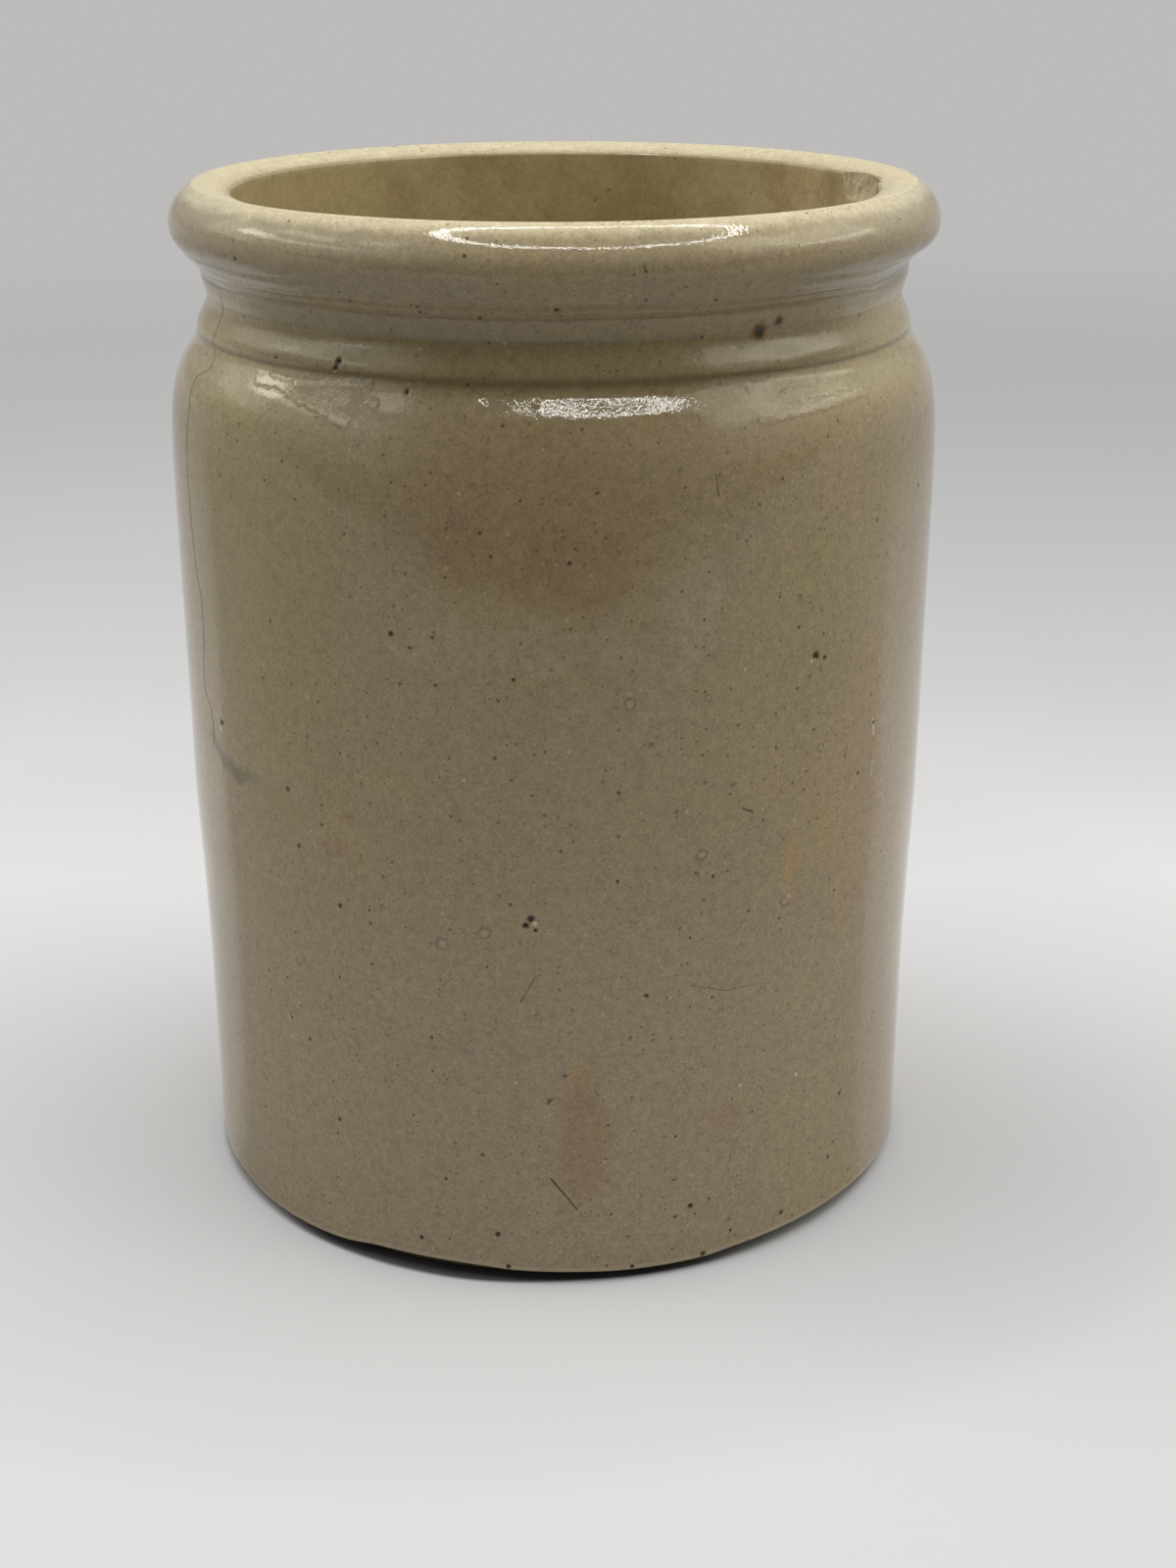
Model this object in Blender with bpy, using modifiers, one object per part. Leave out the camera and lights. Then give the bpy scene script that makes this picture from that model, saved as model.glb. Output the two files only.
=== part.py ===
"""Stoneware marmalade jar, thrown in one piece.

The jar stands on Z = 0 with its axis on the Z axis and the side that is usually seen towards -Y.
One closed outline, from the middle of the inner floor over the rim to the middle of the base, is
turned about the axis, and the old chip in the mouth is then cut out of the rim.
"""
import math

import bpy
from mathutils import Matrix

# Heights of the bands of the outside, stacked from the standing face upwards (metres)
FOOT_BEVEL_HEIGHT = 0.0017
SIDE_HEIGHT = 0.0773
SHOULDER_HEIGHT = 0.0126
BEAD_HEIGHT = 0.0022
NECK_HEIGHT = 0.0034
COLLAR_HEIGHT = 0.0014
RIM_DROP = 0.0041
RIM_RISE = 0.0035

# Radius of the body where the shoulder springs, and how far each band stands in or out of its neighbour
BODY_RADIUS = 0.0399
BODY_TAPER = 0.0012
FOOT_BEVEL_WIDTH = 0.0020
FOOT_ROUND = 0.0016
SHOULDER_INSET = 0.0038
BEAD_STAND = 0.00045
NECK_INSET = 0.00055
COLLAR_STAND = 0.0005
RIM_OVERHANG = 0.00355
RIM_ROUND = 0.0031
CREST_LAND = 0.0012

# Shape of the rounds: the part of a quarter oval that the shoulder takes, and how full the rim is
SHOULDER_SWEEP = math.radians(68)
RIM_FULLNESS = 1.7

# The inside
LIP_WIDTH = 0.0017
LIP_DROP = 0.00105
LIP_ROUND = 0.0004
NECK_WALL = 0.0032
SIDE_WALL = 0.0043
FLOOR_THICKNESS = 0.0060
FLOOR_ROUND = 0.0070

# The chip in the mouth: its bearing from +X towards +Y, its length round the lip, its bite and its depth
CHIP_BEARING = math.radians(10)
CHIP_LENGTH = 0.0140
CHIP_BITE = 0.0014
CHIP_DEPTH = 0.0030

SIDES = 72
MERGE_DISTANCE = 0.00001

standing_radius = BODY_RADIUS - BODY_TAPER - FOOT_BEVEL_WIDTH
foot_radius = BODY_RADIUS - BODY_TAPER
crease_radius = BODY_RADIUS - SHOULDER_INSET
neck_radius = crease_radius - NECK_INSET
collar_radius = neck_radius + COLLAR_STAND
rim_radius = neck_radius + RIM_OVERHANG
crest_radius = rim_radius - RIM_ROUND
lip_radius = crest_radius - CREST_LAND - LIP_WIDTH
neck_bore = neck_radius - NECK_WALL

spring_level = FOOT_BEVEL_HEIGHT + SIDE_HEIGHT
crease_level = spring_level + SHOULDER_HEIGHT
neck_level = crease_level + BEAD_HEIGHT
collar_level = neck_level + NECK_HEIGHT
rim_foot_level = collar_level + COLLAR_HEIGHT
rim_level = rim_foot_level + RIM_DROP
crest_level = rim_level + RIM_RISE
lip_level = crest_level - LIP_DROP


def oval(centre, reach, rise, start, end, count, fullness=2.0):
    """Points of an oval from one angle to another; a fullness under 2 slims it towards a diamond."""
    points = []
    for step in range(count + 1):
        angle = start + (end - start) * step / count
        out = abs(math.cos(angle)) ** (2.0 / fullness)
        up = abs(math.sin(angle)) ** (2.0 / fullness)
        points.append((centre[0] + math.copysign(out, math.cos(angle)) * reach,
                       centre[1] + math.copysign(up, math.sin(angle)) * rise))
    return points


def ease(start, end, count):
    """Points of a smooth S from one place to another, level with the axis at both ends."""
    points = []
    for step in range(count + 1):
        share = step / count
        blend = (1.0 - math.cos(math.pi * share)) / 2.0
        points.append((start[0] + (end[0] - start[0]) * blend, start[1] + (end[1] - start[1]) * share))
    return points


def straight(start, end, count):
    """Points inside a straight run, without its two ends."""
    return [(start[0] + (end[0] - start[0]) * step / count, start[1] + (end[1] - start[1]) * step / count)
            for step in range(1, count)]


def inside_outline():
    """The inside, from the middle of the floor up to the inner edge of the rim's flat crest."""
    floor_bore = foot_radius - SIDE_WALL
    side_bore = BODY_RADIUS - SIDE_WALL
    corner = (floor_bore - FLOOR_ROUND, FLOOR_THICKNESS + FLOOR_ROUND)
    points = [(0.0, FLOOR_THICKNESS)]
    points += straight((0.0, FLOOR_THICKNESS), (corner[0], FLOOR_THICKNESS), 3)
    points += oval(corner, FLOOR_ROUND, FLOOR_ROUND, -math.pi / 2, 0.0, 5)
    points += straight(points[-1], (side_bore, spring_level), 5)
    points += ease((side_bore, spring_level), (neck_bore, crease_level), 6)
    edge = (lip_radius + LIP_ROUND, lip_level - LIP_ROUND)
    points += straight(points[-1], (lip_radius, edge[1]), 3)
    points += oval(edge, LIP_ROUND, LIP_ROUND, math.pi, math.pi / 2, 3)
    return points


def outside_outline():
    """The outside, from the rim's flat crest down to the middle of the base."""
    points = [(crest_radius - CREST_LAND, crest_level)]
    points += oval((crest_radius, rim_level), RIM_ROUND, RIM_RISE, math.pi / 2, 0.0, 6, RIM_FULLNESS)
    points += oval((crest_radius, rim_level), RIM_ROUND, RIM_DROP, 0.0, -math.pi / 2, 6, RIM_FULLNESS)[1:]
    points.append((collar_radius, collar_level))
    hollow_level = (collar_level + neck_level) / 2.0
    points += ease(points[-1], (neck_radius, hollow_level), 3)[1:]
    points.append((neck_radius, neck_level))
    bead_centre = (neck_radius, (neck_level + crease_level) / 2.0)
    bead_reach = crease_radius + BEAD_STAND - neck_radius
    points += oval(bead_centre, bead_reach, BEAD_HEIGHT / 2.0, math.pi / 2, -math.pi / 4, 5)[1:]
    points.append((crease_radius, crease_level))
    reach = SHOULDER_INSET / (1.0 - math.cos(SHOULDER_SWEEP))
    rise = SHOULDER_HEIGHT / math.sin(SHOULDER_SWEEP)
    points += oval((BODY_RADIUS - reach, spring_level), reach, rise, SHOULDER_SWEEP, 0.0, 8)[1:]
    foot = (foot_radius, FOOT_BEVEL_HEIGHT + FOOT_ROUND)
    points += straight(points[-1], foot, 6)
    points += oval((foot[0] - FOOT_ROUND, foot[1]), FOOT_ROUND, FOOT_ROUND, 0.0, -math.pi / 4, 2)
    points.append((standing_radius, 0.0))
    points += straight(points[-1], (0.0, 0.0), 3)
    points.append((0.0, 0.0))
    return points


def make_collection(name):
    collection = bpy.data.collections.new(name)
    bpy.context.scene.collection.children.link(collection)
    return collection


def make_glaze():
    """Clear glaze over grey-buff stoneware."""
    glaze = bpy.data.materials.new("salt_glaze")
    glaze.use_nodes = True
    shader = glaze.node_tree.nodes["Principled BSDF"]
    shader.inputs["Base Color"].default_value = (0.29, 0.24, 0.16, 1.0)
    shader.inputs["Roughness"].default_value = 0.16
    shader.inputs["Metallic"].default_value = 0.0
    glaze.diffuse_color = (0.29, 0.24, 0.16, 1.0)
    return glaze


def turn_jar(collection, glaze):
    """Turn the whole outline about the axis."""
    outline = inside_outline() + outside_outline()
    mesh = bpy.data.meshes.new("jar")
    mesh.from_pydata([(radius, 0.0, height) for radius, height in outline],
                     [(index, index + 1) for index in range(len(outline) - 1)], [])
    jar = bpy.data.objects.new("jar", mesh)
    collection.objects.link(jar)
    turning = jar.modifiers.new("turning", "SCREW")
    turning.axis = "Z"
    turning.angle = 2.0 * math.pi
    turning.steps = SIDES
    turning.render_steps = SIDES
    turning.use_merge_vertices = True
    turning.merge_threshold = MERGE_DISTANCE
    mesh.materials.append(glaze)
    return jar


def make_chip(collection):
    """A flat oval cutter that bites into the lip from inside the mouth and scoops down the bore."""
    bpy.ops.mesh.primitive_ico_sphere_add(subdivisions=3, radius=1.0)
    chip = bpy.context.object
    chip.name = "chip_cutter"
    reach = CHIP_LENGTH / 5.0
    centre = lip_radius + CHIP_BITE - reach
    chip.data.transform(Matrix.Diagonal((reach, CHIP_LENGTH / 2.0, CHIP_DEPTH, 1.0)))
    chip.location = (centre * math.cos(CHIP_BEARING), centre * math.sin(CHIP_BEARING), lip_level)
    chip.rotation_euler = (0.0, 0.0, CHIP_BEARING)
    for owner in chip.users_collection:
        owner.objects.unlink(chip)
    collection.objects.link(chip)
    chip.hide_render = True
    chip.display_type = "WIRE"
    return chip


def main():
    for thing in list(bpy.data.objects):
        bpy.data.objects.remove(thing)
    parts = make_collection("marmalade_jar")
    cutters = make_collection("cutters")
    jar = turn_jar(parts, make_glaze())
    cut = jar.modifiers.new("chip", "BOOLEAN")
    cut.operation = "DIFFERENCE"
    cut.object = make_chip(cutters)
    jar.data.shade_smooth()


main()
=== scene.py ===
import math
import random

import bmesh
import bpy
from mathutils import Matrix, Vector, noise


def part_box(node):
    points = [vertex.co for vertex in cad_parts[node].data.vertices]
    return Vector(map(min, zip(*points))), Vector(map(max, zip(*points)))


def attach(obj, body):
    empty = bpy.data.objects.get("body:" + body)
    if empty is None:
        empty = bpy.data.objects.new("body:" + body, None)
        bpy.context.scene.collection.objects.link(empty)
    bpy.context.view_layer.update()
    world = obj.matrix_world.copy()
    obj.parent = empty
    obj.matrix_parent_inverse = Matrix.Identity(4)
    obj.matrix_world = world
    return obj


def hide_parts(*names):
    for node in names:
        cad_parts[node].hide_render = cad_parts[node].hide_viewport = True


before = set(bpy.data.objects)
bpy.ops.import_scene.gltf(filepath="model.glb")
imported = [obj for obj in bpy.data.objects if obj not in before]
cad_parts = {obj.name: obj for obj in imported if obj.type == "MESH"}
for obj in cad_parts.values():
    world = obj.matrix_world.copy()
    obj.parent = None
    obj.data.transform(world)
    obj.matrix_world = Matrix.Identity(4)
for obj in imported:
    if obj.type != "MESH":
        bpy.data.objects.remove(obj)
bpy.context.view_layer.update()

# The camera
# It stands in front of the jar, a little above the rim, and looks down at the shoulder through
# a fairly long lens, so that the sides of the jar hardly lean together.
CAMERA_PLACE = Vector((0.0, -0.24835, 0.13291))
CAMERA_DOWN = math.radians(20.498)
CAMERA_RIGHT = math.radians(0.8186)
CAMERA_ROLL = math.radians(-0.1565)
CAMERA_LENS = 54.68

view_way = Vector((math.sin(CAMERA_RIGHT) * math.cos(CAMERA_DOWN),
                   math.cos(CAMERA_RIGHT) * math.cos(CAMERA_DOWN), -math.sin(CAMERA_DOWN)))
view_right = Vector((math.cos(CAMERA_RIGHT), -math.sin(CAMERA_RIGHT), 0.0))
view_right.rotate(Matrix.Rotation(-CAMERA_ROLL, 3, view_way))
view_up = view_right.cross(view_way)
camera = bpy.data.objects.new("camera", bpy.data.cameras.new("camera"))
camera.data.lens = CAMERA_LENS
camera.data.sensor_width = 36.0
camera.data.clip_start = 0.01
camera_turn = Matrix((view_right, view_up, -view_way)).transposed().to_4x4()
camera.matrix_world = Matrix.Translation(CAMERA_PLACE) @ camera_turn
bpy.context.scene.collection.objects.link(camera)
bpy.context.scene.camera = camera

# The wall of the jar
# One lump of grey-buff stoneware, turned on a wheel. Its outline runs from the middle of the inner
# floor up the bore, over the rolled rim, down the outside and in to the middle of the base.
MM = 0.001
LEAN = 0.35 * MM
LEAN_AT_SHOULDER = 0.1 * MM
FLOOR_THICKNESS = 6.0 * MM
FLOOR_ROUND = 7.0 * MM
SIDE_WALL = 4.3 * MM
NECK_WALL = 3.2 * MM
LIP_ROUND = 0.42 * MM
RIM_WEAR = 0.15 * MM
FOOT_RADIUS = 38.7 * MM
FOOT_BEVEL_WIDTH = 2.5 * MM
FOOT_ROUND = 0.35 * MM

# The turner's template for the outside, as the radius and the height of each place in mm. The
# curve is smooth along each line and has a corner or a crease where one line meets the next.
RIM_TOP = ((33.15, 105.22), (33.6, 105.38), (34.4, 105.62), (35.3, 105.85), (36.0, 105.99), (36.43, 106.05))
RIM_SIDE = ((36.43, 106.05), (36.62, 105.95), (37.0, 105.79), (37.43, 105.5), (37.77, 105.2), (38.13, 104.8),
            (38.43, 104.4), (38.67, 104.0), (38.9, 103.5), (39.04, 103.0), (39.08, 102.5))
UNDER_RIM = ((39.08, 102.5), (39.03, 101.8), (38.89, 101.25), (38.58, 100.7), (38.1, 100.1), (37.5, 99.5),
             (36.92, 98.98), (36.52, 98.5), (36.28, 98.05), (36.14, 97.7), (36.08, 97.55))
COLLAR = ((36.08, 97.55), (36.12, 97.38), (36.06, 97.0), (35.88, 96.35), (35.66, 95.7), (35.58, 95.45))
HOLLOW = ((35.58, 95.45), (35.57, 95.0), (35.63, 94.6), (35.83, 94.1), (36.12, 93.5), (36.4, 92.95),
          (36.56, 92.5), (36.61, 92.2), (36.62, 91.95), (36.62, 91.78))
SHOULDER = ((36.62, 91.78), (36.66, 91.6), (36.75, 91.33), (36.87, 91.0), (37.02, 90.7), (37.14, 90.5),
            (37.335, 90.2), (37.53, 89.9), (37.725, 89.6), (37.918, 89.3), (38.098, 89.0), (38.308, 88.6),
            (38.5, 88.2), (38.8, 87.5), (39.1, 86.5), (39.35, 85.2), (39.56, 83.6), (39.7, 81.6),
            (39.78, 79.0))
SIDE = ((39.78, 79.0), (39.77, 74.0), (39.68, 65.0), (39.57, 55.0), (39.5, 45.0), (39.38, 39.5),
        (39.14, 34.0), (38.98, 28.5), (38.84, 22.0), (38.78, 15.0), (38.7, 8.5), (38.7, 1.8))

# The shoulder bends sharply over this many of its places, and needs close rows there
SHOULDER_BEND = 12

crest_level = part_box("jar")[1].z - RIM_WEAR
lip_radius = RIM_TOP[0][0] * MM - LIP_ROUND


def rounded(centre, radius, start, end, count=32):
    """Part of a circle, from one angle in degrees to another."""
    points = []
    for step in range(count + 1):
        angle = math.radians(start + (end - start) * step / count)
        points.append((centre[0] + math.cos(angle) * radius, centre[1] + math.sin(angle) * radius))
    return points


def swept(start, end, count=24):
    """A smooth S between two places, upright at both ends."""
    points = []
    for step in range(count + 1):
        share = step / count
        blend = (1 - math.cos(math.pi * share)) / 2
        points.append((start[0] + (end[0] - start[0]) * blend, start[1] + (end[1] - start[1]) * share))
    return points


def along_template(line, count=6):
    """A smooth curve through the places of a template line, in metres."""
    places = [Vector(place) * MM for place in line]
    places = [places[0] * 2 - places[1]] + places + [places[-1] * 2 - places[-2]]
    points = [tuple(places[1])]
    for before, near, far, after in zip(places, places[1:], places[2:], places[3:]):
        for step in range(1, count + 1):
            share = step / count
            near_pull = (far - before) / 2
            far_pull = (after - near) / 2
            point = near * (2 * share ** 3 - 3 * share ** 2 + 1)
            point += near_pull * (share ** 3 - 2 * share ** 2 + share)
            point += far * (3 * share ** 2 - 2 * share ** 3)
            point += far_pull * (share ** 3 - share ** 2)
            points.append(tuple(point))
    return points


def outline_stretches():
    """Each stretch of the outline with the spacing of the rows that it needs on the sheet."""
    floor_bore = FOOT_RADIUS - SIDE_WALL
    side_bore, spring_level = Vector(SIDE[0]) * MM - Vector((SIDE_WALL, 0.0))
    neck_bore = HOLLOW[0][0] * MM - NECK_WALL
    crease_level = SHOULDER[0][1] * MM
    corner = (floor_bore - FLOOR_ROUND, FLOOR_THICKNESS + FLOOR_ROUND)
    lip_centre = (lip_radius + LIP_ROUND, RIM_TOP[0][1] * MM - LIP_ROUND)
    foot_edge = rounded((FOOT_RADIUS - FOOT_ROUND, SIDE[-1][1] * MM), FOOT_ROUND, 0, -60)
    standing_edge = (FOOT_RADIUS - FOOT_BEVEL_WIDTH, 0.0)
    return (([(0.0, FLOOR_THICKNESS), (corner[0], FLOOR_THICKNESS)], 2.5 * MM),
            (rounded(corner, FLOOR_ROUND, -90, 0), 1.5 * MM),
            ([(floor_bore, corner[1]), (side_bore, spring_level)], 2.2 * MM),
            (swept((side_bore, spring_level), (neck_bore, crease_level)), 1.4 * MM),
            ([(neck_bore, crease_level), (lip_radius, lip_centre[1])], 0.9 * MM),
            (rounded(lip_centre, LIP_ROUND, 180, 90), 0.08 * MM),
            (along_template(RIM_TOP), 0.35 * MM),
            (along_template(RIM_SIDE), 0.3 * MM),
            (along_template(UNDER_RIM), 0.16 * MM),
            (along_template(COLLAR), 0.18 * MM),
            (along_template(HOLLOW), 0.22 * MM),
            (along_template(SHOULDER[:SHOULDER_BEND + 1]), 0.2 * MM),
            (along_template(SHOULDER[SHOULDER_BEND:]), 0.55 * MM),
            (along_template(SIDE), 1.1 * MM),
            (foot_edge, 0.12 * MM),
            ([foot_edge[-1], standing_edge], 0.4 * MM),
            ([standing_edge, (0.0, 0.0)], 2.6 * MM))


outline = []
row_places = [0.0]
outline_length = 0.0
for stretch, spacing in outline_stretches():
    stretch_length = 0.0
    for near, far in zip(stretch, stretch[1:]):
        stretch_length += (Vector(far) - Vector(near)).length
    for point in stretch:
        if not outline or (Vector(point) - Vector(outline[-1])).length > 1e-7:
            outline.append(point)
    rows = max(1, round(stretch_length / spacing))
    for row in range(1, rows + 1):
        row_places.append(outline_length + stretch_length * row / rows)
    outline_length += stretch_length

profile = bpy.data.curves.new("jar_outline", "CURVE")
profile.dimensions = "3D"
profile_line = profile.splines.new("POLY")
profile_line.points.add(len(outline) - 1)
for spot, (radius, level) in zip(profile_line.points, outline):
    spot.co = (radius, 0.0, level, 1.0)
outline_object = bpy.data.objects.new("jar_outline", profile)

outline_walk = [0.0]
for near, far in zip(outline, outline[1:]):
    outline_walk.append(outline_walk[-1] + (Vector(far) - Vector(near)).length)
crest_walk = outline_walk[max(range(len(outline)), key=lambda place: outline[place][1])]


def walk_to(level):
    """How far along the outline the outside of the jar passes a height."""
    for place in range(len(outline) - 1):
        top = outline[place][1]
        bottom = outline[place + 1][1]
        if outline_walk[place] >= crest_walk and bottom <= level <= top and top > bottom:
            length = outline_walk[place + 1] - outline_walk[place]
            return outline_walk[place] + (top - level) / (top - bottom) * length
    return outline_walk[-1]


foot_walk = walk_to(SIDE[-1][1] * MM)

# Faults of the clay and the glaze
# Iron grains that melted through, burst blisters, pin holes and kiln grit. Each is a spot on the
# sheet: its bearing from the front in degrees, and its height, its radius and its depth in mm.
SHEET_RADIUS = 39.5 * MM
PIT, BLISTER, SPECK, GRIT, RUST, PIMPLE = range(6)
FAULTS = {
    PIT: ((-33, 92.9, 0.44, 0.3), (-33.4, 92.3, 0.32, 0.25), (-45.5, 92.4, 0.28, 0.15),
          (-21.2, 90.8, 0.32, 0.2), (-49.4, 101.5, 0.24, 0.15), (38.8, 64.5, 0.5, 0.25),
          (40.6, 64.1, 0.32, 0.15), (-3.7, 41, 0.46, 0.2), (-4.5, 40.3, 0.4, 0.2),
          (-3.1, 39.8, 0.28, 0.15), (1.8, 76.2, 0.24, 0.1), (22.3, 44.1, 0.22, 0.1),
          (19.7, 44.7, 0.18, 0.08), (8.4, 44.7, 0.18, 0.08), (-5.7, 65.1, 0.24, 0.05),
          (-9.3, 5.6, 0.32, 0.2), (-21.4, 3.8, 0.28, 0.2), (20.2, 7.7, 0.36, 0.2), (36.8, 3.4, 0.32, 0.2),
          (27.1, 3.6, 0.24, 0.15), (12.8, 32.2, 0.26, 0.15), (0.9, 23.9, 0.24, 0.1),
          (-1.5, 20.9, 0.18, 0.06), (47.4, 7.4, 0.28, 0.15), (49.7, 14.4, 0.28, 0.15),
          (-58.4, 54.7, 0.34, 0.3), (-7.8, 1.9, 0.3, 0.28), (11, 1.9, 0.26, 0.24),
          (22.4, 1.9, 0.34, 0.3), (49.5, 50.6, 0.26, 0.12), (46, 53.1, 0.18, 0.08)),
    BLISTER: ((-16.5, 37.8, 0.57, 0.05), (-10.3, 39.3, 0.55, 0.03), (20.6, 46.6, 0.51, 0.05),
              (7.9, 37.5, 0.33, 0.05), (9.9, 62.5, 0.5, 0.03), (21.1, 62.4, 0.32, 0.06),
              (34.8, 39.7, 0.52, 0.07), (40.6, 55, 0.36, 0.1), (38.8, 56.9, 0.26, 0.08)),
    SPECK: ((0, 98.8, 0.34, 0.05), (-10.7, 97.7, 0.26, 0.05), (-19.4, 98.9, 0.22, 0.05),
            (-19.3, 98.2, 0.22, 0.05), (22.4, 99.2, 0.22, 0.05), (21.8, 95.4, 0.22, 0.05),
            (-22.6, 68.8, 0.34, 0.1), (-19.9, 67.6, 0.22, 0.05), (39, 57, 0.22, 0.05),
            (2.6, 77.6, 0.19, 0.05), (30.2, 48.9, 0.18, 0.05), (-32.8, 39.9, 0.3, 0.05),
            (-41.8, 50.8, 0.3, 0.05), (-40.1, 45.1, 0.3, 0.05), (53.2, 55.3, 0.26, 0.05),
            (51.3, 76.3, 0.26, 0.05), (65.3, 77.7, 0.3, 0.05), (38.7, 47.4, 0.18, 0.05),
            (25.1, 53.2, 0.17, 0.05), (-35.3, 15.5, 0.3, 0.05), (-40.6, 23.6, 0.26, 0.05)),
    GRIT: ((-3.2, 40.5, 0.32, -0.06), (28.1, 20.3, 0.23, -0.04), (-58.9, 54, 0.34, -0.04),
           (38, 64.1, 0.22, -0.04), (35.4, 40.1, 0.2, -0.04)),
    RUST: ((31.4, 95.4, 0.8, 0.03), (34.7, 96.2, 0.45, 0.02)),
    PIMPLE: ((-10.3, 90, 0.85, -0.06), (-26, 89.6, 0.95, -0.05), (-2.6, 90.3, 0.5, -0.04),
             (28.5, 90.6, 0.6, -0.05), (-34, 94.2, 0.4, -0.03))}

# Small ones scattered over the back: how many, and between which bearings, heights and radii
SPARE_FAULTS = 70
SPARE_SEED = 17
SPARE_BEARINGS = (80, 275)
SPARE_HEIGHTS = (4, 96)
SPARE_RADII = (0.15, 0.34)
JOIN_MARGIN = 4 * MM

fault_marks = []
for kind, spots in FAULTS.items():
    for bearing, level, radius, depth in spots:
        across = (math.radians(bearing) + math.pi) * SHEET_RADIUS
        fault_marks.append((across, walk_to(level * MM), kind, radius * MM, depth * MM))
chance = random.Random(SPARE_SEED)
for spare in range(SPARE_FAULTS):
    bearing = chance.uniform(*SPARE_BEARINGS) % 360
    across = (math.radians(bearing) + math.pi) % (2 * math.pi) * SHEET_RADIUS
    across = min(max(across, JOIN_MARGIN), 2 * math.pi * SHEET_RADIUS - JOIN_MARGIN)
    radius = chance.uniform(*SPARE_RADII) * MM
    kind = chance.choice((PIT, PIT, PIT, SPECK, SPECK, BLISTER, GRIT))
    depth = -0.05 * MM if kind == GRIT else radius * 0.4
    fault_marks.append((across, walk_to(chance.uniform(*SPARE_HEIGHTS) * MM), kind, radius, depth))

fault_mesh = bpy.data.meshes.new("jar_faults")
fault_mesh.from_pydata([(mark[0], mark[1], 0.0) for mark in fault_marks], [], [])
for name, place in (("kind", 2), ("radius", 3), ("depth", 4)):
    layer = fault_mesh.attributes.new(name, "FLOAT", "POINT")
    for index, mark in enumerate(fault_marks):
        layer.data[index].value = mark[place]
fault_object = bpy.data.objects.new("jar_faults", fault_mesh)

# The sheet
# The wall laid out flat: across is the way round the jar, with the join at the back, and up is the
# way along the outline. It is cut finer where a fault needs small faces.
COLUMNS = 208
CELL = 2 * MM

# Each pass of cutting: how many radii around a fault it reaches, and the longest edge in mm it leaves
FINER = ((4.2, 0.9), (2.7, 0.5), (1.9, 0.22))


def cells_near(middle, reach):
    """The cells of a coarse grid that a fault reaches, in one direction."""
    return range(int((middle - reach) / CELL), int((middle + reach) / CELL) + 1)


def make_sheet():
    """Rows and columns of faces, with the edges near the faults cut in half in each pass."""
    sheet = bmesh.new()
    width = 2 * math.pi * SHEET_RADIUS
    grid = []
    for up in row_places:
        grid.append([sheet.verts.new((width * column / COLUMNS, up, 0.0)) for column in range(COLUMNS + 1)])
    for below, above in zip(grid, grid[1:]):
        for column in range(COLUMNS):
            sheet.faces.new((below[column], above[column], above[column + 1], below[column + 1]))
    for share, longest in FINER:
        near_cell = {}
        for across, up, kind, radius, depth in fault_marks:
            reach = radius * share
            for cell_x in cells_near(across, reach):
                for cell_y in cells_near(up, reach):
                    near_cell.setdefault((cell_x, cell_y), []).append((across, up, reach))
        chosen = []
        for edge in sheet.edges:
            middle = (edge.verts[0].co + edge.verts[1].co) / 2
            faults = near_cell.get((int(middle.x / CELL), int(middle.y / CELL)), ())
            near = any((middle.x - across) ** 2 + (middle.y - up) ** 2 < reach * reach
                       for across, up, reach in faults)
            if near and edge.calc_length() >= longest * MM:
                chosen.append(edge)
        bmesh.ops.subdivide_edges(sheet, edges=chosen, cuts=1, use_grid_fill=True)
    bmesh.ops.triangulate(sheet, faces=sheet.faces[:])
    mesh = bpy.data.meshes.new("jar")
    sheet.to_mesh(mesh)
    sheet.free()
    return mesh


# The turning
# The sheet is wrapped about the axis along the outline. The hand of the turner leaves rings, the
# clay sags a little towards one side, the foot is trimmed unevenly, and the faults sink in.
KNOCK_BEARING = math.radians(76)
TILT_BEARING = 0.14
RIDGE_SPACING = 0.13 * MM
TRIM_HEIGHT = 1.0 * MM
BARE_BELOW = 0.5 * MM

# Heights in mm: each unevenness grows between its first two and fades between its last two
GROOVE_SPAN = (96.9, 98.4, 98.8, 100.6)
KNOCK_SPAN = (97.6, 98.6, 99.4, 100.6)
TILT_SPAN = (80.0, 87.0, 88.8, 91.0)
RIDGE_SPAN = (97.0, 97.7, 100.0, 101.0)
TRIM_SPAN = (0.1, 1.4, 2.0, 9.0)

# The trimmed edge of the foot: the share of the way round from the back, and how high it is there
TRIM_LINE = ((0.08, 0.65), (0.17, 0.4), (0.26, 0.6), (0.33, 0.42), (0.365, 0.02), (0.41, 0.5), (0.436, 0.85),
             (0.48, 0.52), (0.51, 0.35), (0.55, 0.2), (0.575, 0.5), (0.61, 0.75), (0.64, 0.85), (0.7, 0.5),
             (0.78, 0.38), (0.88, 0.62))


def put(tree, kind, inputs=(), out=0, **settings):
    """Adds a node. Each input is a plain value or the output of another node."""
    node = tree.nodes.new(kind)
    for name, value in settings.items():
        setattr(node, name, value)
    for name, value in dict(inputs).items():
        if isinstance(value, bpy.types.NodeSocket):
            tree.links.new(value, node.inputs[name])
        else:
            node.inputs[name].default_value = value
    return node.outputs[out]


def reckon(operation, *values):
    """A reckoning with numbers, in the tree that one of them comes from."""
    tree = next(value.id_data for value in values if isinstance(value, bpy.types.NodeSocket))
    return put(tree, "ShaderNodeMath", enumerate(values), operation=operation)


def add_up(total, *values):
    for value in values:
        total = reckon("ADD", total, value)
    return total


def times(total, *values):
    for value in values:
        total = reckon("MULTIPLY", total, value)
    return total


def less(value, taken):
    return reckon("SUBTRACT", value, taken)


def ratio(value, whole):
    return reckon("DIVIDE", value, whole)


def unsigned(value):
    return reckon("ABSOLUTE", value)


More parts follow.
